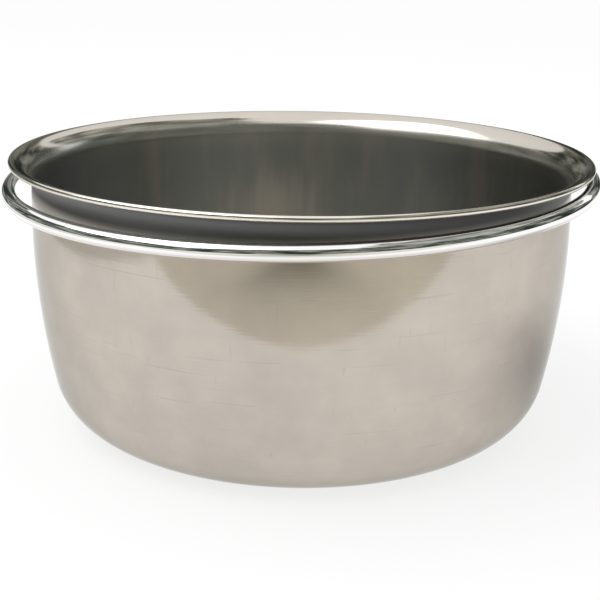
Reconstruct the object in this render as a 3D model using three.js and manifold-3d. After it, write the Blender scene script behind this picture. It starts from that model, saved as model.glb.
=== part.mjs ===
// Coop cup: a drawn steel cup that hangs by its flared lip in a wire ring, and the bolt clamp
// that holds the ring to the bars of a cage. Millimetres, +Z up, the front of the cup is at -Y.
// The origin is where the clamp grips: on the stud's axis, in the rear face of the back plate.

import * as THREE from 'three';
import { mergeVertices } from 'three/addons/utils/BufferGeometryUtils.js';
import Module from 'manifold-3d';

const wasm = await Module();
wasm.setup();

// Cup
const rimDiameter = 150;
const cupHeight = 70.5;
const sheetThickness = 0.7;
const lipOverhang = 5.2; // from the widest part of the wall out to the lip's edge
const lipSlope = 7.4; // degrees, how steeply the lip still rises at its edge
const lipBeadDiameter = 1.4; // the lip's edge is rolled under into a bead, all sheet
const bellyDepth = 18.2; // from the rim down to the widest part of the wall
const wallBowRadius = 195.5; // the wall is a long shallow curve
const cornerRadius = 16.2; // between wall and base
const baseRise = 0.8; // the middle of the base is pushed up, so the cup stands on a ring
const footWidth = 5; // of that standing ring
const riseSlopeWidth = 3;

// Holder ring
const wireDiameter = 4;
const ringSlack = 3.1; // between the wire and the widest part of the cup's wall
const ringDroop = 1.15; // degrees, the ring's front hangs lower
const ringLean = 1.4; // degrees, the ring's left side hangs lower
const cupSideShift = 0.25; // the cup lies this far right of the ring's middle
const lipSeatGap = 0.35; // between the lip and the wire where the lip bears on it

// Back plate, welded under the ring
const backPlateWidth = 40;
const backPlateThickness = 2;
const backPlateTop = 15; // above the stud's axis
const backPlateBottom = 14; // below it
const plateCornerRadius = 5;
const plateTopInWire = 0.25; // share of the wire's radius that the top edge reaches up into
const wireBeforeRearFace = 0.25; // the wire stays this far in front of the plate's rear face
const weldRadius = 1.7;
const weldLength = 17;

// Stud
const studDiameter = 6;
const studLength = 26; // behind the back plate
const studHeadDiameter = 12;
const studHeadThickness = 1.4;
const studTipChamfer = 0.7;

// Clamp plate, a flat strip with both ends bent forward past the back plate's sides
const clampPlateThickness = 2;
const clampPlateHeight = 22;
const clampGap = 5; // room for the cage's bars at rest
const earReach = 6; // how far the bent ends come forward of the strip's front face
const bendRadius = 1.2; // inside the bend
const earCornerRadius = 3;

// Wing nut
const nutHubDiameter = 13;
const nutTopDiameter = 10;
const nutHeight = 8;
const wingSpan = 32;
const wingHeight = 16.5;
const wingThickness = 2.8;
const wingTipRadius = 4.8;
const wingFoot = 1.2; // the wings start this far behind the hub's front face
const wingBelly = 4; // and reach their full span from about this far behind it
const wingShoulder = 135; // degrees, how far the wing's round tip goes
const wingTurn = 25; // degrees, where the nut happens to stand

// Fits
const faceGap = 0.15; // between faces that bear on each other
const studHoleClearance = 0.25; // round the stud, in the clamp plate
const studSeatClearance = 0.1; // round the stud, in the back plate
const threadClearance = 0.12; // round the stud, in the nut
const earClearance = 1; // beside the back plate
const wireSeatGap = 0.3; // between the ring and the plate that it is welded to

// Fineness of the round shapes
const cupSegments = 72;
const ringSegments = 96;
const wireSides = 14;
const smallRoundSegments = 32;
const plateArcSteps = 8; // in each round corner of the back plate
const smallArcSteps = 6; // in the bends, the ears, the wings and the weld's section
const cupArcSteps = 7; // in each curve of the cup's section
const beadArcSteps = 10; // round the lip's bead
const weldSteps = 12; // along the weld

const cutPast = 1; // a shape that cuts runs this far past what it cuts

const degrees = Math.PI / 180;

function steel(name, color, roughness) {
  const material = new THREE.MeshStandardMaterial({ color, roughness, metalness: 1 });
  material.name = name;
  return material;
}

function namedMesh(name, geometry, material) {
  const mesh = new THREE.Mesh(geometry, material);
  mesh.name = name;
  return mesh;
}

// A closed geometry as a solid that can be joined and cut.
function toSolid(geometry) {
  const bare = geometry.clone();
  bare.deleteAttribute('normal');
  bare.deleteAttribute('uv');
  const merged = mergeVertices(bare, 1e-4);
  return new wasm.Manifold(new wasm.Mesh({
    numProp: 3,
    vertProperties: Float32Array.from(merged.attributes.position.array),
    triVerts: Uint32Array.from(merged.index.array),
  }));
}

function toGeometry(solid) {
  const data = solid.getMesh();
  const geometry = new THREE.BufferGeometry();
  geometry.setAttribute('position', new THREE.BufferAttribute(data.vertProperties, 3));
  geometry.setIndex(new THREE.BufferAttribute(data.triVerts, 1));
  geometry.computeVertexNormals();
  return geometry;
}

// Points along an arc in a profile of radius and height, both ends included.
function arc(centre, radius, from, to, steps) {
  const points = [];
  for (let i = 0; i <= steps; i += 1) {
    const angle = from + ((to - from) * i) / steps;
    points.push(new THREE.Vector2(
      centre.x + radius * Math.cos(angle),
      centre.y + radius * Math.sin(angle),
    ));
  }
  return points;
}

// A profile turned round the upright axis.
function revolve(points, segments) {
  const geometry = new THREE.LatheGeometry(points, segments);
  geometry.rotateX(Math.PI / 2);
  return geometry;
}

// A cylinder along Y, from one Y to another, with its near and far radii.
function barAlongY(yFrom, yTo, radiusFrom, radiusTo = radiusFrom) {
  const geometry = new THREE.CylinderGeometry(
    radiusTo, radiusFrom, yTo - yFrom, smallRoundSegments,
  );
  geometry.translate(0, (yFrom + yTo) / 2, 0);
  return geometry;
}

// An outline drawn in X and Z, made into a plate that runs from one Y to another.
function plateAcrossY(shape, yFrom, yTo) {
  const geometry = new THREE.ExtrudeGeometry(shape, {
    depth: yTo - yFrom,
    bevelEnabled: false,
    curveSegments: plateArcSteps,
  });
  geometry.rotateX(Math.PI / 2);
  geometry.translate(0, yTo, 0);
  return geometry;
}

function roundedRectangle(left, right, bottom, top, radius) {
  const shape = new THREE.Shape();
  shape.moveTo(left + radius, bottom);
  shape.lineTo(right - radius, bottom);
  shape.absarc(right - radius, bottom + radius, radius, -Math.PI / 2, 0, false);
  shape.lineTo(right, top - radius);
  shape.absarc(right - radius, top - radius, radius, 0, Math.PI / 2, false);
  shape.lineTo(left + radius, top);
  shape.absarc(left + radius, top - radius, radius, Math.PI / 2, Math.PI, false);
  shape.lineTo(left, bottom + radius);
  shape.absarc(left + radius, bottom + radius, radius, Math.PI, 1.5 * Math.PI, false);
  return shape;
}

// The cup's profile in radius and height over its base: a bowed wall that runs into a round
// corner below and, by a hollow curve, into the lip above.
const rimRadius = rimDiameter / 2;
const bellyRadius = rimRadius - lipOverhang;
const beadRadius = lipBeadDiameter / 2;
const wallCentre = new THREE.Vector2(bellyRadius - wallBowRadius, cupHeight - bellyDepth);
const beadCentre = new THREE.Vector2(rimRadius - beadRadius, cupHeight - beadRadius);

// The flare touches the wall's curve, and its upper side ends on top of the bead with the
// given slope. The bead's centre lies on a curve round the flare's centre.
const lipToFlareCentre = new THREE.Vector2(
  Math.sin(lipSlope * degrees), -Math.cos(lipSlope * degrees),
);
const wallToBead = beadCentre.clone().sub(wallCentre);
const beadInset = sheetThickness - beadRadius; // from the flare's underside to the bead's centre
const wallInsetRadius = wallBowRadius - beadInset;
const flareToBead = (wallToBead.lengthSq() - wallInsetRadius ** 2)
  / (2 * (wallInsetRadius - wallToBead.dot(lipToFlareCentre)));
const flareRadius = flareToBead - beadInset;
const flareCentre = beadCentre.clone().addScaledVector(lipToFlareCentre, flareToBead);

// The corner touches the wall's curve and the base.
const cornerRise = cornerRadius - wallCentre.y;
const cornerCentre = new THREE.Vector2(
  wallCentre.x + Math.sqrt((wallBowRadius - cornerRadius) ** 2 - cornerRise ** 2),
  cornerRadius,
);

// The ring in the frame of the clamp
const wireRadius = wireDiameter / 2;
const ringRadius = bellyRadius + ringSlack + wireRadius;
const wireHeight = backPlateTop + wireRadius * (1 - plateTopInWire);
const wireY = -wireBeforeRearFace - wireRadius;
const ringTilt = new THREE.Euler(ringDroop * degrees, -ringLean * degrees, 0, 'YXZ');
const ringCentre = new THREE.Vector3(0, ringRadius, 0)
  .applyEuler(ringTilt)
  .negate()
  .add(new THREE.Vector3(0, wireY, wireHeight));

// The cup comes down until its lip's bead or its flare meets the wire of the tilted ring. Each
// point of the wire would let it down to some height, and the first to meet it decides.
function cupBaseHeight() {
  const beadReach = beadRadius + wireRadius + lipSeatGap;
  const flareReach = flareRadius - wireRadius - lipSeatGap;
  let base = -Infinity;
  for (let i = 0; i < ringSegments; i += 1) {
    const angle = (2 * Math.PI * i) / ringSegments;
    const wire = new THREE.Vector3(
      ringRadius * Math.cos(angle), ringRadius * Math.sin(angle), 0,
    ).applyEuler(ringTilt);
    const fromAxis = Math.hypot(wire.x - cupSideShift, wire.y);
    const fromBead = fromAxis - beadCentre.x;
    const fromFlare = flareCentre.x - fromAxis;
    const onBead = Math.sqrt(Math.max(0, beadReach ** 2 - fromBead ** 2)) - beadCentre.y;
    const inFlare = -Math.sqrt(Math.max(0, flareReach ** 2 - fromFlare ** 2)) - flareCentre.y;
    base = Math.max(base, ringCentre.z + wire.z + Math.max(onBead, inFlare));
  }
  return base;
}

const cupPlace = new THREE.Vector3(ringCentre.x + cupSideShift, ringCentre.y, cupBaseHeight());

// Cup: one sheet, so each curve of the inside is one of the outside moved by its thickness.
function cupProfile() {
  const flareStart = flareCentre.clone().sub(wallCentre).angle();
  const lipAngle = beadCentre.clone().sub(flareCentre).angle();
  const wallFoot = cornerCentre.clone().sub(wallCentre);
  const cornerStart = Math.atan2(wallFoot.y, wallFoot.x);
  const footInside = cornerCentre.x - footWidth;

  const side = (moved, lipEnd) => [
    ...arc(flareCentre, flareRadius + moved, lipEnd, flareStart + Math.PI, cupArcSteps),
    ...arc(wallCentre, wallBowRadius - moved, flareStart, cornerStart, cupArcSteps).slice(1),
    ...arc(cornerCentre, cornerRadius - moved, cornerStart, -Math.PI / 2, cupArcSteps).slice(1),
    new THREE.Vector2(footInside, moved),
    new THREE.Vector2(footInside - riseSlopeWidth, baseRise + moved),
    new THREE.Vector2(0, baseRise + moved),
  ];

  // The underside of the flare runs into the bead, which goes round to the flare's upper side.
  const beadShare = (flareRadius ** 2 + flareToBead ** 2 - beadRadius ** 2)
    / (2 * flareRadius * flareToBead);
  const undersideEnd = lipAngle + Math.acos(beadShare);
  const outside = side(0, undersideEnd);
  const inside = side(sheetThickness, lipAngle);
  const beadStart = outside[0].clone().sub(beadCentre).angle() - 2 * Math.PI;
  const bead = arc(beadCentre, beadRadius, beadStart, lipAngle, beadArcSteps);
  return [...outside.reverse(), ...bead.slice(1, -1), ...inside];
}

function makeCup() {
  const geometry = revolve(cupProfile(), cupSegments);
  return namedMesh('cup', geometry, steel('polished_sheet', 0xc3bfb8, 0.22));
}

// Holder ring: round wire, closed by a butt weld that the back plate's weld covers.
function wireRing(thickness) {
  return new THREE.TorusGeometry(ringRadius, thickness / 2, wireSides, ringSegments);
}

function placeRing(object) {
  object.position.copy(ringCentre);
  object.rotation.copy(ringTilt);
  return object;
}

function makeRing() {
  const mesh = namedMesh('holder_ring', wireRing(wireDiameter), steel('bright_wire', 0xd9d9d6, 0.12));
  return placeRing(mesh);
}

// Back plate, with the weld bead that joins it to the wire.
function weldBead() {
  const halfAngle = weldLength / 2 / ringRadius;
  const beadDrop = wireRadius + weldRadius / 2;
  const points = [];
  for (let i = 0; i <= weldSteps; i += 1) {
    const angle = Math.PI / 2 - halfAngle + (2 * halfAngle * i) / weldSteps;
    points.push(new THREE.Vector3(
      ringRadius * Math.cos(angle), ringRadius * Math.sin(angle), -beadDrop,
    ));
  }
  const section = new THREE.Shape();
  section.absarc(0, 0, weldRadius, 0, 2 * Math.PI, false);
  return new THREE.ExtrudeGeometry(section, {
    steps: weldSteps,
    curveSegments: smallArcSteps,
    bevelEnabled: false,
    extrudePath: new THREE.CatmullRomCurve3(points),
  });
}

function placedOnRing(geometry) {
  const holder = placeRing(new THREE.Object3D());
  holder.updateMatrix();
  return geometry.applyMatrix4(holder.matrix);
}

function makeBackPlate() {
  const half = backPlateWidth / 2;
  const outline = roundedRectangle(-half, half, -backPlateBottom, backPlateTop, plateCornerRadius);
  const plate = toSolid(plateAcrossY(outline, -backPlateThickness, 0));
  const behindPlate = toSolid(plateAcrossY(outline, 0, wireDiameter));
  const weld = toSolid(placedOnRing(weldBead())).subtract(behindPlate);
  const wireSeat = toSolid(placedOnRing(wireRing(wireDiameter + 2 * wireSeatGap)));
  const studHole = toSolid(barAlongY(
    -backPlateThickness - cutPast, cutPast, studDiameter / 2 + studSeatClearance,
  ));
  const solid = plate.add(weld).subtract(wireSeat).subtract(studHole);
  return namedMesh('back_plate', toGeometry(solid), steel('zinc_plate', 0xb4b6b8, 0.35));
}

// Stud: a flat head in front of the back plate and the shank that the clamp runs on, turned
// round Y as one profile.
function makeStud() {
  const radius = studDiameter / 2;
  const headRadius = studHeadDiameter / 2;
  const headBack = -backPlateThickness - faceGap;
  const headFront = headBack - studHeadThickness;
  const tipEnd = studLength + studTipChamfer;
  const profile = [
    new THREE.Vector2(0, headFront),
    new THREE.Vector2(headRadius, headFront),
    new THREE.Vector2(headRadius, headBack),
    new THREE.Vector2(radius, headBack),
    new THREE.Vector2(radius, studLength),
    new THREE.Vector2(radius - studTipChamfer, tipEnd),
    new THREE.Vector2(0, tipEnd),
  ];
  const geometry = new THREE.LatheGeometry(profile, smallRoundSegments);
  return namedMesh('clamp_stud', geometry, steel('zinc_stud', 0xbfc0be, 0.3));
}

// Clamp plate: a strip bent at both ends, with its ears rounded and a hole for the stud.
function makeClampPlate() {
  const inside = backPlateWidth / 2 + earClearance;
  const outside = inside + clampPlateThickness;
  const back = clampPlateThickness;
  const outerBend = bendRadius + clampPlateThickness;
  const strip = new THREE.Shape();
  strip.moveTo(-outside, -earReach);
  strip.lineTo(-inside, -earReach);
  strip.lineTo(-inside, -bendRadius);
  strip.absarc(-inside + bendRadius, -bendRadius, bendRadius, Math.PI, Math.PI / 2, true);
  strip.lineTo(inside - bendRadius, 0);
  strip.absarc(inside - bendRadius, -bendRadius, bendRadius, Math.PI / 2, 0, true);
  strip.lineTo(inside, -earReach);
  strip.lineTo(outside, -earReach);
  strip.lineTo(outside, back - outerBend);
  strip.absarc(outside - outerBend, back - outerBend, outerBend, 0, Math.PI / 2, false);
  strip.lineTo(-outside + outerBend, back);
  strip.absarc(-outside + outerBend, back - outerBend, outerBend, Math.PI / 2, Math.PI, false);
  const bent = new THREE.ExtrudeGeometry(strip, {
    depth: clampPlateHeight,
    bevelEnabled: false,
    curveSegments: smallArcSteps,
  });
  bent.translate(0, 0, -clampPlateHeight / 2);

  // The ears' front corners are rounded by a side outline drawn in Y and Z.
  const halfHeight = clampPlateHeight / 2;
  const sideOutline = new THREE.Shape();
  sideOutline.moveTo(back + cutPast, -halfHeight - cutPast);
  sideOutline.lineTo(back + cutPast, halfHeight + cutPast);
  sideOutline.lineTo(-earReach + earCornerRadius, halfHeight);
  sideOutline.absarc(
    -earReach + earCornerRadius, halfHeight - earCornerRadius, earCornerRadius,
    Math.PI / 2, Math.PI, false,
  );
  sideOutline.absarc(
    -earReach + earCornerRadius, -halfHeight + earCornerRadius, earCornerRadius,
    Math.PI, 1.5 * Math.PI, false,
  );
  const sideBlock = new THREE.ExtrudeGeometry(sideOutline, {
    depth: 2 * (outside + cutPast),
    bevelEnabled: false,
    curveSegments: smallArcSteps,
  });
  sideBlock.rotateX(Math.PI / 2);
  sideBlock.rotateZ(Math.PI / 2);
  sideBlock.translate(-outside - cutPast, 0, 0);

  const studHole = toSolid(barAlongY(
    -cutPast, back + cutPast, studDiameter / 2 + studHoleClearance,
  ));
  const solid = toSolid(bent).intersect(toSolid(sideBlock)).subtract(studHole);
  const mesh = namedMesh('clamp_plate', toGeometry(solid), steel('zinc_clamp', 0xb0b2b4, 0.35));
  mesh.position.y = clampGap;
  return mesh;
}

// Wing nut: a tapered hub with two upright wings.
function makeWingNut() {
  const bore = studDiameter / 2 + threadClearance;
  const hub = toSolid(barAlongY(0, nutHeight, nutHubDiameter / 2, nutTopDiameter / 2));
  const wing = new THREE.Shape();
  const tipX = wingSpan / 2 - wingTipRadius;
  const tipY = wingHeight - wingTipRadius;
  const rootY = nutHeight - wingFoot;
  wing.moveTo(0, wingFoot);
  wing.lineTo(nutHubDiameter / 2, wingFoot);
  wing.quadraticCurveTo(wingSpan / 2, wingBelly, wingSpan / 2, tipY);
  wing.absarc(tipX, tipY, wingTipRadius, 0, wingShoulder * degrees, false);
  wing.quadraticCurveTo(nutHubDiameter / 2, nutHeight, nutTopDiameter / 2, rootY);
  wing.lineTo(0, rootY);
  const wingBlade = new THREE.ExtrudeGeometry(wing, {
    depth: wingThickness,
    bevelEnabled: false,
    curveSegments: smallArcSteps,
  });
  wingBlade.translate(0, 0, -wingThickness / 2);
  const otherBlade = wingBlade.clone().rotateY(Math.PI);
  const hole = toSolid(barAlongY(-cutPast, nutHeight + cutPast, bore));
  const solid = hub.add(toSolid(wingBlade)).add(toSolid(otherBlade)).subtract(hole);
  const mesh = namedMesh('wing_nut', toGeometry(solid), steel('zinc_nut', 0xc0c2c2, 0.3));
  mesh.position.y = clampGap + clampPlateThickness + faceGap;
  mesh.rotation.y = wingTurn * degrees;
  return mesh;
}

const coopCup = new THREE.Group();

const cup = new THREE.Group();
cup.position.copy(cupPlace);
cup.add(makeCup());

const holder = new THREE.Group();
holder.add(makeRing(), makeBackPlate(), makeStud());

const clamp = new THREE.Group();
clamp.add(makeClampPlate(), makeWingNut());

coopCup.add(cup, holder, clamp);

export default coopCup;
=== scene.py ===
import math

import bmesh
import bpy
from mathutils import Matrix, Vector


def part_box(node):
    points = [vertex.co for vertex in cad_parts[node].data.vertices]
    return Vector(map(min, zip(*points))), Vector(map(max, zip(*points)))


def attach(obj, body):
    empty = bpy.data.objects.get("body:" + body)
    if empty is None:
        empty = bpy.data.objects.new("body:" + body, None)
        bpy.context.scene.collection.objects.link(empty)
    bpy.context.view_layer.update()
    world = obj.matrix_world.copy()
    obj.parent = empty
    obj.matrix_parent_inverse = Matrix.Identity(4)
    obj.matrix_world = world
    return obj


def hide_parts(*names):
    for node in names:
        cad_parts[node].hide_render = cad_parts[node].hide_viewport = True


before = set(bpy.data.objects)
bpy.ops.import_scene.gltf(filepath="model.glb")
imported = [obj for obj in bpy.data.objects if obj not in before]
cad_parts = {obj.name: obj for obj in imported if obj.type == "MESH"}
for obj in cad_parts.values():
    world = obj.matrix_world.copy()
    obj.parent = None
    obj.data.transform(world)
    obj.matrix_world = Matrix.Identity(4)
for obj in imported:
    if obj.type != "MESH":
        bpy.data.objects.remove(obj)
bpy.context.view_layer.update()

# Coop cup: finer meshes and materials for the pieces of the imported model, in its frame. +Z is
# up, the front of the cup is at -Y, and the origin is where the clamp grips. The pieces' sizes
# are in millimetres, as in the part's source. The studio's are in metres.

MM = 0.001

# Cup, the same shape as its solid
RIM_RADIUS = 75.0
CUP_HEIGHT = 70.5
SHEET = 0.7
LIP_OVERHANG = 5.2  # from the widest part of the wall out to the lip's edge
LIP_SLOPE = math.radians(7.4)
BEAD_RADIUS = 0.7
BELLY_DEPTH = 18.2  # from the rim down to the widest part of the wall
WALL_BOW_RADIUS = 195.5
CORNER_RADIUS = 16.2
BASE_RISE = 0.8
FOOT_WIDTH = 5.0
RISE_SLOPE_WIDTH = 3.0
BASE_RADII = (38.0, 30.0, 20.0, 10.0, 4.0, 0.0)  # of the rings of points in the flat middle
CUP_SEGMENTS = 288
FLARE_STEPS, WALL_STEPS, CORNER_STEPS, RISE_STEPS, BEAD_STEPS = 28, 30, 24, 12, 24

# Where the cup's surface changes, and where its painted highlight and painted shade lie. The first
# three are measured down from the rim, and the others up from the holder ring's plane.
INSIDE_STARTS, INSIDE_FADE = 0.8, 4.5
# painted highlight spread a little way down the inside from the lip
INNER_LIP_HIGHLIGHT_ENDS, INNER_LIP_HIGHLIGHT_FADE = 3.5, 8.0
INNER_LIP_HIGHLIGHT_SHARE = 0.4
# painted shade on the neck above the wire, and deep in the neck behind the wire
NECK_STARTS, NECK_FADE = -2.2, 1.8
DEEP_ENDS, DEEP_FADE = 1.8, 2.2

# Light patch of painted reflection on the back wall's inside, in metres in the cup's own place
PATCH_MIDDLE = (-0.007, 0.066, 0.040)
PATCH_HALF = (0.018, 0.025, 0.015)

# Holder ring
WIRE_RADIUS = 2.0
RING_SLACK = 3.1  # between the wire and the widest part of the cup's wall
RING_RADIUS = RIM_RADIUS - LIP_OVERHANG + RING_SLACK + WIRE_RADIUS
RING_DROOP = math.radians(1.15)
RING_LEAN = math.radians(1.4)
RING_SEGMENTS, WIRE_SEGMENTS = 320, 32

# Clamp
PLATE_THICKNESS = 2.0
PLATE_TOP = 15.0
PLATE_EASING = 0.3
PLATE_TOP_IN_WIRE = 0.25  # share of the wire's radius that the top edge reaches up into
WIRE_BEFORE_REAR_FACE = 0.25
CLAMP_GAP = 5.0
FACE_GAP = 0.15  # between faces that bear on each other

# Middle of the ring's wire at the back, where the plate is welded on
WIRE_Y = -WIRE_BEFORE_REAR_FACE - WIRE_RADIUS
WIRE_HEIGHT = PLATE_TOP + (1 - PLATE_TOP_IN_WIRE) * WIRE_RADIUS

# Stud
STUD_RADIUS = 3.0
STUD_END = 26.7  # its tip, behind the back plate's rear face
STUD_TIP_CHAMFER = 0.7
STUD_TIP_RADIUS = 1.9
STUD_SIDES = 40
HEAD_THICKNESS = 1.4
THREAD_PITCH = 1.0
THREAD_DEPTH = 0.6
THREAD_START = 0.6
THREAD_RUNOUT = 0.8
THREAD_STEP = 0.1
THREAD_ROOT_SHARE, THREAD_FLANK_SHARE = 0.12, 0.74
CREST_RADIUS = STUD_RADIUS - 0.02

# Wing nut
HUB_RADIUS, HUB_TOP_RADIUS, HUB_HEIGHT = 6.5, 5.0, 8.0
HUB_SEGMENTS = 64
WING_REACH, WING_HEIGHT, WING_THICKNESS = 16.0, 16.5, 2.8
WING_TIP_RADIUS = 4.8
WING_FOOT = 1.2  # the wings start this far behind the hub's front face
WING_BELLY = 4.0  # and reach their full span from about this far behind it
WING_SHOULDER = math.radians(135)  # how far the wing's round tip goes
WING_TURN = math.radians(25)
BORE_RADIUS = STUD_RADIUS + 0.12
BORE_SEGMENTS = 48
NUT_VOXEL = 0.22  # size of the cubes that the nut is grown together from

# Share of white in the floor, as the camera and the metal see it
FLOOR_WHITE = 0.75

# Studio, in metres
CUP_MIDDLE_Y = -0.077
FLOOR_SIZE = 12.0
CARD_LIFT = 0.0005  # of the cards that lie on the floor
WALL_DISTANCE = 1.6
WALL_STEPS_ROUND = 120
# how high the dim room's walls reach, in degrees above the cup, at each way round in degrees:
# 0 is in front of the cup, 90 at its left and 270 at its right
WALL_HEIGHTS = {
    0: 49, 40: 46, 90: 34, 130: 26, 180: 24, 215: 20, 228: 8, 240: 30, 252: 76, 300: 76, 318: 50,
}

# The photograph's camera, fitted to the cup's outlines. Its place is in radii of the rim.
PHOTO_WIDTH = 600
PHOTO_FOCAL_LENGTH = 1181.5  # in pixels
SENSOR_WIDTH = 36.0
CAMERA_PLACE = (-0.0077, -4.0906, 0.721)
CAMERA_YAW, CAMERA_PITCH, CAMERA_ROLL = 0.002, 0.2995, 0.0147


# Meshes


def new_object(name, mesh):
    made = bpy.data.objects.new(name, mesh)
    bpy.context.scene.collection.objects.link(made)
    return made


def add_piece(name, mesh, body, material, node, place=None):
    """A new piece made of a mesh, riding on a body and standing for a CAD node."""
    piece = new_object(name, mesh)
    if place is not None:
        piece.matrix_world = place
    piece.data.materials.append(material)
    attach(piece, body)
    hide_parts(node)
    return piece


def mesh_from(name, points, faces):
    """A smooth mesh from points in millimetres, with its faces looking outwards."""
    mesh = bpy.data.meshes.new(name)
    mesh.from_pydata([tuple(c * MM for c in p) for p in points], [], faces)
    mesh.validate()
    bm = bmesh.new()
    bm.from_mesh(mesh)
    bmesh.ops.recalc_face_normals(bm, faces=bm.faces)
    bm.to_mesh(mesh)
    bm.free()
    mesh.polygons.foreach_set("use_smooth", [True] * len(mesh.polygons))
    return mesh


def shade_by_angle(mesh, degrees):
    """Smooth faces, with sharp edges where two faces meet at more than this angle."""
    mesh.polygons.foreach_set("use_smooth", [True] * len(mesh.polygons))
    mesh.set_sharp_from_angle(angle=math.radians(degrees))


def smooth(share):
    """A soft climb from 0 to 1."""
    share = min(1.0, max(0.0, share))
    return share * share * (3 - 2 * share)


def arc(centre, radius, start, end, steps):
    angles = [start + (end - start) * i / steps for i in range(steps + 1)]
    return [
        (centre[0] + radius * math.cos(angle), centre[1] + radius * math.sin(angle))
        for angle in angles
    ]


def bend(start, control, end, steps):
    """Points after the start on a curve that leaves and arrives towards the control point."""
    return [
        tuple(
            (1 - t) ** 2 * s + 2 * t * (1 - t) * c + t**2 * e
            for s, c, e in zip(start, control, end)
        )
        for t in (i / steps for i in range(1, steps + 1))
    ]


def faces_between(rings):
    """Faces between neighbouring rings of points. A ring may be one point, repeated."""
    faces = []
    for lower, upper in zip(rings, rings[1:]):
        for k in range(len(lower)):
            n = (k + 1) % len(lower)
            corners = [lower[k], lower[n], upper[n], upper[k]]
            faces.append(list(dict.fromkeys(corners)))
    return faces


def revolve(profile, segments):
    """A closed skin from a profile of (radius, height) turned round Z. Ends on the axis."""
    points, rings = [], []
    for radius, height in profile:
        if on_axis(radius):
            rings.append([len(points)] * segments)
            points.append((0.0, 0.0, height))
            continue
        rings.append(range(len(points), len(points) + segments))
        for k in range(segments):
            angle = 2 * math.pi * k / segments
            points.append((radius * math.cos(angle), radius * math.sin(angle), height))
    return points, faces_between(rings)


def on_axis(radius):
    return radius < 1e-6


def torus(ring_radius, wire_radius, around, across):
    points, faces = [], []
    for i in range(around):
        a = 2 * math.pi * i / around
        for j in range(across):
            b = 2 * math.pi * j / across
            r = ring_radius + wire_radius * math.cos(b)
            points.append((r * math.cos(a), r * math.sin(a), wire_radius * math.sin(b)))
    for i in range(around):
        for j in range(across):
            n, m = (i + 1) % around, (j + 1) % across
            faces.append([i * across + j, n * across + j, n * across + m, i * across + m])
    return points, faces


# Materials


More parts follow.
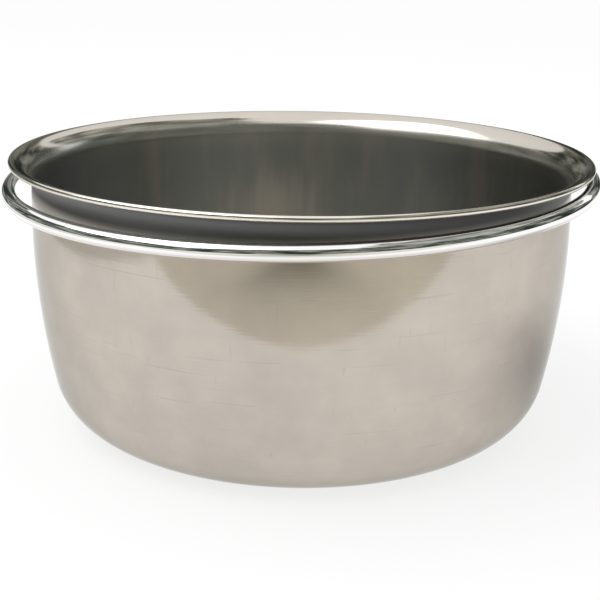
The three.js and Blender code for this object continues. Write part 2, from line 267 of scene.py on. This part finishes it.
class Paint:
    """One material, and the few kinds of nodes that the materials share."""

    def __init__(self, name):
        self.material = bpy.data.materials.new(name)
        self.material.use_nodes = True
        self.nodes = self.material.node_tree.nodes
        self.links = self.material.node_tree.links
        self.shader = self.nodes["Principled BSDF"]
        self.place = self.nodes.new("ShaderNodeTexCoord").outputs["Object"]

    def feed(self, socket, value):
        """Gives a socket its value, which comes from a node or is written as it is."""
        if isinstance(value, bpy.types.NodeSocket):
            self.links.new(value, socket)
        else:
            socket.default_value = value

    def set(self, name, value):
        self.feed(self.shader.inputs[name], value)

    def math(self, operation, *values):
        made = self.nodes.new("ShaderNodeMath")
        made.operation = operation
        for socket, value in zip(made.inputs, values):
            self.feed(socket, value)
        return made.outputs[0]

    def split(self, vector):
        made = self.nodes.new("ShaderNodeSeparateXYZ")
        self.links.new(vector, made.inputs[0])
        return made.outputs

    def length(self, vector):
        made = self.nodes.new("ShaderNodeVectorMath")
        made.operation = "LENGTH"
        self.links.new(vector, made.inputs[0])
        return made.outputs["Value"]

    def mapped(self, location=(0, 0, 0), rotation=(0, 0, 0), scale=(1, 1, 1)):
        """The object's coordinates scaled, turned and then moved."""
        made = self.nodes.new("ShaderNodeMapping")
        self.links.new(self.place, made.inputs["Vector"])
        made.inputs["Location"].default_value = location
        made.inputs["Rotation"].default_value = rotation
        made.inputs["Scale"].default_value = scale
        return made.outputs[0]

    def polar(self, scale_round, scale_across):
        """Coordinates that run round the object's Z axis, up it and out from it, for marks of
        turning and brushing. The round one is scaled by angle, the others by metres."""
        x, y, z = self.split(self.place)
        turn = self.math("ARCTAN2", y, x)
        squares = self.math("MULTIPLY", x, x), self.math("MULTIPLY", y, y)
        out = self.math("SQRT", self.math("ADD", *squares))
        joined = self.nodes.new("ShaderNodeCombineXYZ")
        self.links.new(self.math("MULTIPLY", turn, scale_round), joined.inputs["X"])
        self.links.new(self.math("MULTIPLY", z, scale_across), joined.inputs["Y"])
        self.links.new(self.math("MULTIPLY", out, scale_across), joined.inputs["Z"])
        return joined.outputs[0]

    def noise(self, vector, scale, detail, roughness):
        made = self.nodes.new("ShaderNodeTexNoise")
        made.inputs["Scale"].default_value = scale
        made.inputs["Detail"].default_value = detail
        made.inputs["Roughness"].default_value = roughness
        self.links.new(vector, made.inputs["Vector"])
        return made.outputs["Fac"]

    def span(self, value, low, high, from_low=0.0, from_high=1.0):
        """A value stretched to run from low to high."""
        made = self.nodes.new("ShaderNodeMapRange")
        self.links.new(value, made.inputs["Value"])
        made.inputs["From Min"].default_value = from_low
        made.inputs["From Max"].default_value = from_high
        made.inputs["To Min"].default_value = low
        made.inputs["To Max"].default_value = high
        return made.outputs["Result"]

    def ramp(self, value, low, high):
        """0 below low, 1 above high and a soft climb between them."""
        made = self.nodes.new("ShaderNodeMapRange")
        made.interpolation_type = "SMOOTHSTEP"
        self.links.new(value, made.inputs["Value"])
        made.inputs["From Min"].default_value = low
        made.inputs["From Max"].default_value = high
        return made.outputs["Result"]

    def mixed(self, factor, first, second):
        """A mix of two colours."""
        made = self.nodes.new("ShaderNodeMix")
        made.data_type = "RGBA"
        self.links.new(factor, made.inputs["Factor"])
        for name, colour in (("A", first), ("B", second)):
            self.feed(made.inputs[name], (*colour, 1) if isinstance(colour, tuple) else colour)
        return made.outputs["Result"]

    def times(self, first, second):
        """The product of two colours."""
        made = self.nodes.new("ShaderNodeMix")
        made.data_type = "RGBA"
        made.blend_type = "MULTIPLY"
        made.inputs["Factor"].default_value = 1.0
        self.links.new(first, made.inputs["A"])
        self.links.new(second, made.inputs["B"])
        return made.outputs["Result"]

    def bump(self, height, strength, distance):
        made = self.nodes.new("ShaderNodeBump")
        made.inputs["Strength"].default_value = strength
        made.inputs["Distance"].default_value = distance
        self.links.new(height, made.inputs["Height"])
        self.set("Normal", made.outputs["Normal"])

    def glow(self, colour):
        """Shows a colour by itself, whatever light falls on it."""
        self.set("Base Color", (0, 0, 0, 1))
        self.set("Specular IOR Level", 0.0)
        self.set("Emission Color", colour)
        self.set("Emission Strength", 1.0)

    def show_mix(self, factor, first, second):
        """Shows a mix of two shaders in place of one."""
        made = self.nodes.new("ShaderNodeMixShader")
        for socket, value in zip(made.inputs, (factor, first, second)):
            self.links.new(value, socket)
        self.links.new(made.outputs[0], self.nodes["Material Output"].inputs["Surface"])


def scratches(paint, turn, scale, threshold):
    """Thin broken lines along one direction: 1 on a scratch, 0 elsewhere."""
    lines = paint.noise(paint.mapped(rotation=turn, scale=scale), 1.0, 1.0, 0.4)
    return paint.ramp(lines, threshold, threshold + 0.035)


def painted_reflection_patch(paint):
    """A light patch of painted reflection with upright streaks, inside the back wall: 1 in its
    middle, 0 outside.
    """
    shrunk = tuple(1 / half for half in PATCH_HALF)
    moved = tuple(-middle / half for middle, half in zip(PATCH_MIDDLE, PATCH_HALF))
    reach = paint.length(paint.mapped(location=moved, scale=shrunk))
    upright = paint.noise(paint.polar(13.0, 16.0), 1.0, 3.0, 0.5)
    edge = paint.math("ADD", reach, paint.span(upright, -0.8, 0.8))
    return paint.math("SUBTRACT", 1.0, paint.ramp(edge, 0.1, 1.1))


def cup_material():
    """Satin drawn steel: fine marks round the cup, soft clouds, blotches and stray scratches.
    The lip is bright, partly from wear and partly as painted highlight; the neck under it is
    rougher and painted dark as painted shade; the inside is greyer and painted darker as painted
    shade, with painted light at its left end and a painted reflection on its back wall."""
    paint = Paint("satin_steel")
    paint.set("Metallic", 1.0)
    paint.set("Specular Tint", (0.74, 0.74, 0.73, 1))
    finish_and_painted_light = paint.nodes.new("ShaderNodeAttribute")
    finish_and_painted_light.attribute_name = "finish_and_painted_light"
    zones = paint.nodes.new("ShaderNodeSeparateColor")
    paint.links.new(finish_and_painted_light.outputs["Color"], zones.inputs["Color"])
    inside, neck, lip = (zones.outputs[name] for name in ("Red", "Green", "Blue"))
    deep = finish_and_painted_light.outputs["Alpha"]
    outside = paint.math("SUBTRACT", 1.0, inside)
    across = paint.split(paint.place)["X"]

    grain = paint.noise(paint.polar(2.0, 1500.0), 1.0, 3.0, 0.6)
    cloudy = paint.ramp(paint.noise(paint.place, 19.0, 4.0, 0.55), 0.30, 0.70)
    spotty = paint.ramp(paint.noise(paint.place, 75.0, 4.0, 0.6), 0.30, 0.75)
    streaky = paint.ramp(paint.noise(paint.polar(1.2, 260.0), 1.0, 3.0, 0.6), 0.25, 0.75)
    upright = scratches(paint, (0.05, 0.03, 0.0), (1500.0, 1500.0, 40.0), 0.74)
    level = scratches(paint, (0.06, 0.04, 0.3), (45.0, 45.0, 2200.0), 0.71)
    leaning = scratches(paint, (0.7, 0.5, 0.2), (1600.0, 1600.0, 70.0), 0.75)
    strays = paint.math("MAXIMUM", paint.math("MAXIMUM", upright, level), leaning)
    strays = paint.math("MULTIPLY", strays, outside)

    outer = paint.mixed(cloudy, (0.515, 0.470, 0.420), (0.570, 0.518, 0.455))
    spots = paint.mixed(spotty, (0.955, 0.955, 0.955), (1.035, 1.035, 1.035))
    streaks = paint.mixed(streaky, (0.985, 0.985, 0.985), (1.01, 1.01, 1.01))
    outer = paint.times(paint.times(outer, spots), streaks)

    # the inside is greyer than the outside, and painted darker as painted shade
    inner = paint.mixed(cloudy, (0.43, 0.44, 0.42), (0.49, 0.49, 0.465))
    flat = paint.nodes.new("ShaderNodeVectorMath")
    flat.operation = "MULTIPLY"
    flat.inputs[1].default_value = (1.0, 1.0, 0.0)
    paint.links.new(paint.place, flat.inputs[0])
    # the wall's inside is smeared and the base isn't, and painted light makes the inside's left end
    # lighter and bluer
    on_wall = paint.ramp(paint.length(flat.outputs[0]), 0.054, 0.064)
    smears = paint.ramp(paint.noise(paint.polar(5.0, 14.0), 1.0, 4.0, 0.6), 0.42, 0.70)
    smeared = paint.math("MULTIPLY", on_wall, smears)
    inner = paint.mixed(smeared, inner, (0.59, 0.56, 0.51))
    inner = paint.mixed(paint.ramp(across, -0.072, -0.045), (0.64, 0.68, 0.72), inner)
    # painted reflection: a light beige patch on the back wall's inside
    inner = paint.mixed(painted_reflection_patch(paint), inner, (0.80, 0.725, 0.64))

    tone = paint.mixed(inside, outer, inner)
    tone = paint.mixed(paint.math("MULTIPLY", strays, 0.24), tone, (0.40, 0.37, 0.33))
    # painted shade: the neck is painted dark, more so towards its right side, and also deep behind
    # the wire, where it is painted dark at the right and stays near the body's tone at the left
    towards_right = paint.ramp(across, -0.07, 0.055)
    neck_painted_shade = paint.mixed(towards_right, (0.20, 0.208, 0.205), (0.062, 0.063, 0.062))
    tone = paint.mixed(neck, tone, neck_painted_shade)
    deep_painted_shade = paint.mixed(paint.ramp(across, 0.0, 0.06), (0.49, 0.465, 0.425), (0.10, 0.10, 0.10))
    tone = paint.mixed(deep, tone, deep_painted_shade)
    # the lip is painted bright: partly wear, partly painted highlight
    tone = paint.mixed(lip, tone, (0.86, 0.815, 0.735))
    paint.set("Base Color", tone)

    blur = paint.math("ADD", paint.span(grain, 0.06, 0.11), paint.span(cloudy, -0.01, 0.03))
    blur = paint.math("ADD", blur, paint.span(inside, 0.0, 0.22))
    blur = paint.math("ADD", blur, paint.span(neck, 0.0, 0.30))
    paint.set("Roughness", blur)
    brushed = paint.math("MULTIPLY", grain, paint.span(inside, 1.0, 0.12))
    marks = paint.math("SUBTRACT", brushed, paint.math("MULTIPLY", strays, 0.6))
    paint.bump(marks, 0.12, 0.00006)
    return paint.material


def wire_material():
    """Bright polished wire with faint drawing marks along it, and painted shade on its underside.
    """
    paint = Paint("bright_wire")
    grain = paint.noise(paint.polar(3.0, 2600.0), 1.0, 2.0, 0.5)
    clouds = paint.noise(paint.place, 60.0, 3.0, 0.5)
    # painted shade: the wire's underside is darker
    upper = paint.ramp(paint.split(paint.place)["Z"], -0.0012, -0.0002)
    bright = paint.mixed(clouds, (0.94, 0.94, 0.935), (0.98, 0.98, 0.97))
    paint.set("Metallic", 1.0)
    paint.set("Base Color", paint.mixed(upper, (0.76, 0.72, 0.70), bright))
    paint.set("Roughness", paint.span(grain, 0.03, 0.07))
    paint.bump(grain, 0.05, 0.00004)
    return paint.material


def plated_material(name, cool, warm, dull):
    """Zinc plating: a bluish metal with a fine crystalline mottle and slightly rubbed edges."""
    paint = Paint(name)
    mottle = paint.noise(paint.place, 420.0, 5.0, 0.65)
    clouds = paint.noise(paint.place, 90.0, 3.0, 0.5)
    edge = paint.nodes.new("ShaderNodeNewGeometry").outputs["Pointiness"]
    rubbed = paint.span(edge, 0.0, -0.12, 0.52, 0.62)
    paint.set("Metallic", 1.0)
    paint.set("Base Color", paint.mixed(clouds, cool, warm))
    blur = paint.math("ADD", paint.span(mottle, dull - 0.06, dull + 0.12), rubbed)
    paint.set("Roughness", blur)
    paint.bump(mottle, 0.12, 0.00008)
    return paint.material


satin = cup_material()
bright = wire_material()
plated = plated_material("zinc_plate", (0.60, 0.62, 0.65), (0.66, 0.66, 0.64), 0.30)
threaded = plated_material("zinc_thread", (0.64, 0.65, 0.66), (0.70, 0.68, 0.63), 0.26)


# Cup


def cup_profile():
    """The cup's section from the middle of the base's underside, round the lip, to the middle
    of its top. With it, how far each point is outside, on the lip and inside."""
    belly = RIM_RADIUS - LIP_OVERHANG
    wall = Vector((belly - WALL_BOW_RADIUS, CUP_HEIGHT - BELLY_DEPTH))
    bead = Vector((RIM_RADIUS - BEAD_RADIUS, CUP_HEIGHT - BEAD_RADIUS))
    to_flare = Vector((math.sin(LIP_SLOPE), -math.cos(LIP_SLOPE)))
    inset = SHEET - BEAD_RADIUS
    bow = WALL_BOW_RADIUS - inset
    reach = bead - wall
    flare_to_bead = (reach.length_squared - bow**2) / (2 * (bow - reach.dot(to_flare)))
    flare_radius = flare_to_bead - inset
    flare = bead + to_flare * flare_to_bead
    rise = CORNER_RADIUS - wall.y
    corner = Vector(
        (wall.x + math.sqrt((WALL_BOW_RADIUS - CORNER_RADIUS) ** 2 - rise**2), CORNER_RADIUS)
    )
    flare_start = math.atan2(flare.y - wall.y, flare.x - wall.x)
    lip_angle = math.atan2(bead.y - flare.y, bead.x - flare.x)
    corner_start = math.atan2(corner.y - wall.y, corner.x - wall.x)
    foot = corner.x - FOOT_WIDTH

    def side(moved, lip_end):
        """One side of the sheet, from the lip to the middle, moved in from the outside."""
        points = arc(flare, flare_radius + moved, lip_end, flare_start + math.pi, FLARE_STEPS)
        points += arc(wall, WALL_BOW_RADIUS - moved, flare_start, corner_start, WALL_STEPS)[1:]
        points += arc(corner, CORNER_RADIUS - moved, corner_start, -math.pi / 2, CORNER_STEPS)[1:]
        # a point on the flat foot, then a soft step up to the raised middle of the base
        points.append((foot + 0.3 * FOOT_WIDTH, moved))
        for i in range(RISE_STEPS + 1):
            t = i / RISE_STEPS
            points.append((foot - RISE_SLOPE_WIDTH * t, moved + BASE_RISE * smooth(t)))
        points += [(radius, BASE_RISE + moved) for radius in BASE_RADII]
        return points

    share = (flare_radius**2 + flare_to_bead**2 - BEAD_RADIUS**2) / (
        2 * flare_radius * flare_to_bead
    )
    outside = side(0.0, lip_angle + math.acos(share))
    inside = side(SHEET, lip_angle)
    start = math.atan2(outside[0][1] - bead.y, outside[0][0] - bead.x)
    start -= 2 * math.pi if start > 0 else 0
    bead_arc = arc(bead, BEAD_RADIUS, start, lip_angle, BEAD_STEPS)[1:-1]
    zones = [(1.0, 0.0, 0.0)] * len(outside) + [(0.0, 1.0, 0.0)] * len(bead_arc)
    for _, height in inside:
        below_rim = CUP_HEIGHT - height
        # a painted highlight reaches a little way down the inside from the lip
        inner_lip_highlight = INNER_LIP_HIGHLIGHT_SHARE * (1 - smooth((below_rim - INNER_LIP_HIGHLIGHT_ENDS) / INNER_LIP_HIGHLIGHT_FADE))
        zones.append((0.0, inner_lip_highlight, smooth((below_rim - INSIDE_STARTS) / INSIDE_FADE)))
    return outside[::-1] + bead_arc + inside, zones


def ring_place():
    """The ring's place: its back stays at the plate, and its front and left side hang lower."""
    turn = Matrix.Rotation(-RING_LEAN, 4, "Y") @ Matrix.Rotation(RING_DROOP, 4, "X")
    centre = Vector((0, WIRE_Y, WIRE_HEIGHT)) - turn.to_3x3() @ Vector((0, RING_RADIUS, 0))
    return Matrix.Translation(centre * MM) @ turn


def add_finish_and_painted_light(mesh, section, zones, place):
    """For each point: how far it is inside, in the neck above the wire, on the lip, and deep
    in the neck behind the wire. The neck's zones carry painted shade, and the lip's carries a
    painted highlight as well as wear."""
    finish_and_painted_light, index = [], 0
    to_ring = ring_place().inverted() @ place
    for (radius, _), (outside, lip, inside) in zip(section, zones):
        for _ in range(1 if on_axis(radius) else CUP_SEGMENTS):
            above_ring = (to_ring @ mesh.vertices[index].co).z / MM
            neck = outside * smooth((above_ring - NECK_STARTS) / NECK_FADE)
            deep = neck * smooth((DEEP_ENDS - above_ring) / DEEP_FADE)
            finish_and_painted_light += [inside, neck, lip, deep]
            index += 1
    made = mesh.attributes.new("finish_and_painted_light", "FLOAT_COLOR", "POINT")
    made.data.foreach_set("color", finish_and_painted_light)


cup_low, cup_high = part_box("cup")
cup_place = Matrix.Translation(
    ((cup_low[0] + cup_high[0]) / 2, (cup_low[1] + cup_high[1]) / 2, cup_low[2])
)
cup_section, cup_zones = cup_profile()
cup_mesh = mesh_from("drawn_cup", *revolve(cup_section, CUP_SEGMENTS))
add_finish_and_painted_light(cup_mesh, cup_section, cup_zones, cup_place)
add_piece("drawn_cup", cup_mesh, "cup", satin, "cup", cup_place)

# Holder ring

ring_mesh = mesh_from("wire_ring", *torus(RING_RADIUS, WIRE_RADIUS, RING_SEGMENTS, WIRE_SEGMENTS))
add_piece("wire_ring", ring_mesh, "holder", bright, "holder_ring", ring_place())

# Stud with its thread


def thread_cut(phase):
    """How deep the thread is cut at a phase of 0 to 1 along one pitch."""
    flank = abs(phase - 0.5) * 2
    share = min(1.0, max(0.0, (flank - THREAD_ROOT_SHARE) / THREAD_FLANK_SHARE))
    return THREAD_DEPTH * (1 - share)


def stud_skin():
    """The stud along +Y, from its head in front of the back plate to its tip."""
    front = -PLATE_THICKNESS - FACE_GAP
    end = front - HEAD_THICKNESS
    head = [
        (5.3, end), (5.8, end + 0.08), (5.98, end + 0.3), (6.0, end + 0.5), (6.0, front - 0.3),
        (5.95, front - 0.08), (5.8, front), (CREST_RADIUS, front),
        (CREST_RADIUS, THREAD_START - 0.3),
    ]
    points, rings = [], []

    def add_point(height):
        rings.append([len(points)] * STUD_SIDES)
        points.append((0.0, height, 0.0))

    def add_ring(radii, height):
        rings.append(range(len(points), len(points) + STUD_SIDES))
        for k, radius in enumerate(radii):
            angle = 2 * math.pi * k / STUD_SIDES
            # turned from +Z to +X, so that the thread climbs to +Y the right-hand way
            points.append((radius * math.sin(angle), height, radius * math.cos(angle)))

    add_point(end)
    for radius, height in head:
        add_ring([radius] * STUD_SIDES, height)
    height = THREAD_START
    while height < STUD_END - THREAD_STEP / 2:
        runout = min(1.0, (height - THREAD_START) / THREAD_RUNOUT)
        limit = CREST_RADIUS - max(0.0, height - (STUD_END - STUD_TIP_CHAMFER))
        cuts = [
            thread_cut((height / THREAD_PITCH - k / STUD_SIDES) % 1.0) for k in range(STUD_SIDES)
        ]
        add_ring([min(limit, CREST_RADIUS - cut * runout) for cut in cuts], height)
        height += THREAD_STEP
    add_ring([STUD_TIP_RADIUS] * STUD_SIDES, STUD_END)
    add_point(STUD_END)
    return points, faces_between(rings)


stud_mesh = mesh_from("threaded_stud", *stud_skin())
shade_by_angle(stud_mesh, 38)
add_piece("threaded_stud", stud_mesh, "holder", threaded, "clamp_stud")

# Back plate and clamp plate keep their own shape, with their edges eased

for plate_name in ("back_plate", "clamp_plate"):
    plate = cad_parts[plate_name]
    plate.data.materials.clear()
    plate.data.materials.append(plated)
    easing = plate.modifiers.new("edges", "BEVEL")
    easing.width = PLATE_EASING * MM
    easing.segments = 3
    easing.limit_method = "ANGLE"
    easing.angle_limit = math.radians(35)
    easing.harden_normals = False

# Wing nut, cast: hub and wings grown together and softened


def wing_outline():
    """One wing in (x, y): out from the hub, round the tip and back."""
    points = [(0.0, WING_FOOT), (HUB_RADIUS, WING_FOOT)]
    tip_centre = (WING_REACH - WING_TIP_RADIUS, WING_HEIGHT - WING_TIP_RADIUS)
    points += bend(points[-1], (WING_REACH, WING_BELLY), (WING_REACH, tip_centre[1]), 12)
    points += arc(tip_centre, WING_TIP_RADIUS, 0, WING_SHOULDER, 16)[1:]
    root = (HUB_TOP_RADIUS, HUB_HEIGHT - WING_FOOT)
    points += bend(points[-1], (HUB_RADIUS, HUB_HEIGHT), root, 10)
    points.append((0.0, HUB_HEIGHT - WING_FOOT))
    return points


def along_y(points):
    """Points of a shape that was turned round Z, laid along +Y."""
    return [(x, z, y) for x, y, z in points]


def nut_skin():
    """Hub and two wings as overlapping closed skins, along +Y, in the nut's own place."""
    points, faces = [], []

    def add(new_points, new_faces):
        base = len(points)
        points.extend(new_points)
        faces.extend([[base + k for k in face] for face in new_faces])

    hub = [(0.0, 0.0), (HUB_RADIUS, 0.0), (HUB_TOP_RADIUS, HUB_HEIGHT), (0.0, HUB_HEIGHT)]
    hub_points, hub_faces = revolve(hub, HUB_SEGMENTS)
    add(along_y(hub_points), hub_faces)
    outline = wing_outline()
    count = len(outline)
    half = WING_THICKNESS / 2
    for way in (1, -1):
        wing = [(way * x, y, z) for z in (-half, half) for x, y in outline]
        skin = [list(range(count)), list(range(2 * count - 1, count - 1, -1))]
        skin += [[k, count + k, count + (k + 1) % count, (k + 1) % count] for k in range(count)]
        add(wing, skin)
    return points, faces


def bored_and_softened(nut):
    """The nut's final mesh: grown together, softened and bored."""
    grown = nut.modifiers.new("grown_together", "REMESH")
    grown.mode = "VOXEL"
    grown.voxel_size = NUT_VOXEL * MM
    grown.use_smooth_shade = True
    soft = nut.modifiers.new("softened", "SMOOTH")
    soft.factor = 0.5
    soft.iterations = 7

    past = 1.0  # the bore's cutter runs this far past both ends
    bore = [(0.0, -past), (BORE_RADIUS, -past), (BORE_RADIUS, HUB_HEIGHT + past)]
    bore.append((0.0, HUB_HEIGHT + past))
    bore_points, bore_faces = revolve(bore, BORE_SEGMENTS)
    cutter_mesh = mesh_from("nut_bore_cutter", along_y(bore_points), bore_faces)
    cutter = new_object("nut_bore_cutter", cutter_mesh)
    cutter.matrix_world = nut.matrix_world
    cut = nut.modifiers.new("bore", "BOOLEAN")
    cut.operation = "DIFFERENCE"
    cut.object = cutter
    cut.solver = "EXACT"

    bpy.context.view_layer.update()
    depsgraph = bpy.context.evaluated_depsgraph_get()
    mesh = bpy.data.meshes.new_from_object(nut.evaluated_get(depsgraph))
    nut.modifiers.clear()
    bpy.data.objects.remove(cutter)
    return mesh


nut_mesh = mesh_from("cast_wing_nut", *nut_skin())
nut_seat = CLAMP_GAP + PLATE_THICKNESS + FACE_GAP
nut_place = Matrix.Translation((0, nut_seat * MM, 0)) @ Matrix.Rotation(WING_TURN, 4, "Y")
nut = add_piece(
    "cast_wing_nut", nut_mesh, "nut", threaded, "wing_nut", nut_place
)
# the nut keeps its finished shape, so that it takes its bore along when it moves
nut.data = bored_and_softened(nut)
shade_by_angle(nut.data, 45)

# Floor, studio and lights


def floor_material():
    """Pale matt paper. The camera and the metal see it part lit and part white, so that it
    stays pale and still keeps the object's shadow."""
    paint = Paint("pale_floor")
    tooth = paint.noise(paint.place, 60.0, 3.0, 0.5)
    paint.set("Base Color", paint.mixed(tooth, (0.88, 0.88, 0.88), (0.90, 0.90, 0.90)))
    paint.set("Roughness", 0.9)
    paint.set("Specular IOR Level", 0.0)
    white = paint.nodes.new("ShaderNodeEmission")
    white.inputs["Color"].default_value = (1, 1, 1, 1)
    white.inputs["Strength"].default_value = 1.0
    ray = paint.nodes.new("ShaderNodeLightPath").outputs
    seen = paint.math("MAXIMUM", ray["Is Camera Ray"], ray["Is Glossy Ray"])
    seen = paint.math("MAXIMUM", seen, ray["Is Transmission Ray"])
    share = paint.math("MULTIPLY", seen, FLOOR_WHITE)
    paint.show_mix(share, paint.shader.outputs[0], white.outputs[0])
    return paint.material


def floor():
    bpy.ops.mesh.primitive_plane_add(size=FLOOR_SIZE, location=(0, 0, cup_low[2]))
    plane = bpy.context.object
    plane.name = "floor"
    plane.data.materials.append(floor_material())


def softbox():
    """A large soft lamp up at the left, aimed at the cup."""
    data = bpy.data.lights.new("softbox", "AREA")
    data.shape = "RECTANGLE"
    data.size, data.size_y = 1.1, 0.8
    data.energy = 5.0
    lamp = new_object("softbox", data)
    lamp.location = (-0.55, -0.24, 0.85)
    ahead = Vector((0, CUP_MIDDLE_Y, 0)) - lamp.location
    lamp.rotation_mode = "QUATERNION"
    lamp.rotation_quaternion = ahead.to_track_quat("-Z", "Y")
    lamp.visible_camera = False


def table_edge_material():
    """What lies beyond the paper's front edge: darker the further out it is."""
    paint = Paint("beyond_the_paper")
    x, y, _ = paint.split(paint.place)
    sideways = paint.ramp(paint.math("ABSOLUTE", x), 0.0, 0.14)
    sideways = paint.math("MULTIPLY", sideways, 0.93)
    near = paint.math("MAXIMUM", paint.ramp(y, -0.48, -0.21), sideways)
    paint.glow(paint.mixed(near, (0.29, 0.285, 0.235), (0.82, 0.795, 0.72)))
    return paint.material


def side_edge_material():
    """The table beside the paper, a little darker than the paper."""
    paint = Paint("beside_the_paper")
    patches = paint.noise(paint.place, 6.0, 3.0, 0.5)
    paint.glow(paint.mixed(patches, (0.70, 0.70, 0.66), (0.80, 0.79, 0.75)))
    return paint.material


def soft_shadow_material():
    """A soft dark patch that fades out to nothing towards its rim."""
    paint = Paint("soft_shadow")
    uneven = paint.span(paint.noise(paint.place, 30.0, 2.0, 0.5), -0.006, 0.006)
    out = paint.math("ADD", paint.length(paint.place), uneven)
    paint.glow(paint.mixed(paint.ramp(out, 0.0, 0.05), (0.60, 0.60, 0.61), (0.7, 0.7, 0.7)))
    clear = paint.nodes.new("ShaderNodeBsdfTransparent")
    paint.show_mix(paint.ramp(out, 0.0, 0.082), paint.shader.outputs[0], clear.outputs[0])
    return paint.material


def room_material():
    """A dim room round the table: mottled, with lighter and greener patches."""
    paint = Paint("dim_room")
    patches = paint.ramp(paint.noise(paint.place, 3.2, 4.0, 0.6), 0.40, 0.66)
    paint.glow(paint.mixed(patches, (0.025, 0.032, 0.028), (0.36, 0.37, 0.33)))
    return paint.material


def cloth_material():
    """A grey cloth hung over the right side, uneven as cloth is."""
    paint = Paint("grey_cloth")
    folds = paint.ramp(paint.noise(paint.place, 2.6, 4.0, 0.6), 0.36, 0.68)
    paint.glow(paint.mixed(folds, (0.16, 0.17, 0.15), (0.60, 0.60, 0.56)))
    return paint.material


def card(name, points, faces, material):
    """A studio card for the reflections alone. It casts no shadow and isn't seen itself."""
    mesh = bpy.data.meshes.new(name)
    mesh.from_pydata(points, [], faces)
    made = new_object(name, mesh)
    made.data.materials.append(material)
    made.visible_camera = False
    made.visible_diffuse = False
    made.visible_shadow = False
    return made


def flat_card(name, outline, height, material):
    """A level card of one outline in (x, y)."""
    points = [(x, y, height) for x, y in outline]
    return card(name, points, [list(range(len(points)))], material)


def wall_height(way):
    """How high the room's wall reaches above the cup at one way round, in degrees."""
    ways = sorted(WALL_HEIGHTS)
    before = max(w for w in ways if w <= way)
    after = min([w for w in ways if w > way] + [360])
    share = (way - before) / (after - before)
    low = WALL_HEIGHTS[before]
    return low + (WALL_HEIGHTS[after % 360] - low) * share


def dim_room(ground):
    """Walls all round, of uneven height."""
    points, faces = [], []
    for i in range(WALL_STEPS_ROUND):
        way = 360 * i / WALL_STEPS_ROUND
        top = WALL_DISTANCE * math.tan(math.radians(wall_height(way)))
        turn = math.radians(way)
        x = -WALL_DISTANCE * math.sin(turn)
        y = CUP_MIDDLE_Y - WALL_DISTANCE * math.cos(turn)
        points += [(x, y, ground), (x, y, top)]
        n = (i + 1) % WALL_STEPS_ROUND
        faces.append([2 * i, 2 * n, 2 * n + 1, 2 * i + 1])
    card("dim_room", points, faces, room_material())


def studio_cards():
    """What the cup mirrors: a cloth over its right, the table beyond the paper's front and left
    edges, a soft shadow on the paper at its right, and a dim room."""
    ground = cup_low[2] + CARD_LIFT
    over = [(0.36, -0.85), (2.4, -0.85), (2.4, 2.2), (0.5, 2.2)]
    flat_card("cloth_at_right", over, 1.2, cloth_material())
    front = [
        (-1.5, -0.32), (-0.35, -0.285), (-0.16, -0.25), (0.0, -0.226), (0.16, -0.25),
        (0.35, -0.285), (1.5, -0.32), (1.5, -2.0), (-1.5, -2.0),
    ]
    flat_card("beyond_front_edge", front, ground, table_edge_material())
    left = [(-0.262, -0.30), (-0.262, 0.30), (-1.5, 0.30), (-1.5, -0.30)]
    flat_card("beyond_left_edge", left, ground, side_edge_material())
    patch = [(-0.09, -0.09), (0.09, -0.09), (0.09, 0.09), (-0.09, 0.09)]
    shade = flat_card("shade_at_right", patch, 0.0, soft_shadow_material())
    shade.location = (0.104, -0.082, ground)
    dim_room(ground)


def world_light():
    world = bpy.data.worlds.new("studio")
    bpy.context.scene.world = world
    world.use_nodes = True
    sky = world.node_tree.nodes["Background"]
    sky.inputs["Color"].default_value = (1, 1, 1, 1)
    sky.inputs["Strength"].default_value = 1.0


def camera():
    """The photograph's own view, from a pinhole camera fitted to the cup's outlines."""
    data = bpy.data.cameras.new("photo_camera")
    data.sensor_width = SENSOR_WIDTH
    data.lens = SENSOR_WIDTH * PHOTO_FOCAL_LENGTH / PHOTO_WIDTH
    data.clip_start = 0.01
    made = new_object("photo_camera", data)
    rim = Vector((cup_place.translation.x, cup_place.translation.y, cup_high[2]))
    made.location = rim + Vector(CAMERA_PLACE) * RIM_RADIUS * MM
    cos_yaw, sin_yaw = math.cos(CAMERA_YAW), math.sin(CAMERA_YAW)
    cos_pitch, sin_pitch = math.cos(CAMERA_PITCH), math.sin(CAMERA_PITCH)
    cos_roll, sin_roll = math.cos(CAMERA_ROLL), math.sin(CAMERA_ROLL)
    ahead = Vector((sin_yaw * cos_pitch, cos_yaw * cos_pitch, -sin_pitch))
    level = Vector((cos_yaw, -sin_yaw, 0))
    up = level.cross(ahead)
    right = cos_roll * level + sin_roll * up
    over = -sin_roll * level + cos_roll * up
    made.rotation_mode = "QUATERNION"
    made.rotation_quaternion = Matrix((right, over, -ahead)).transposed().to_quaternion()
    bpy.context.scene.camera = made


bpy.context.scene.view_settings.view_transform = "Standard"
floor()
world_light()
softbox()
studio_cards()
camera()
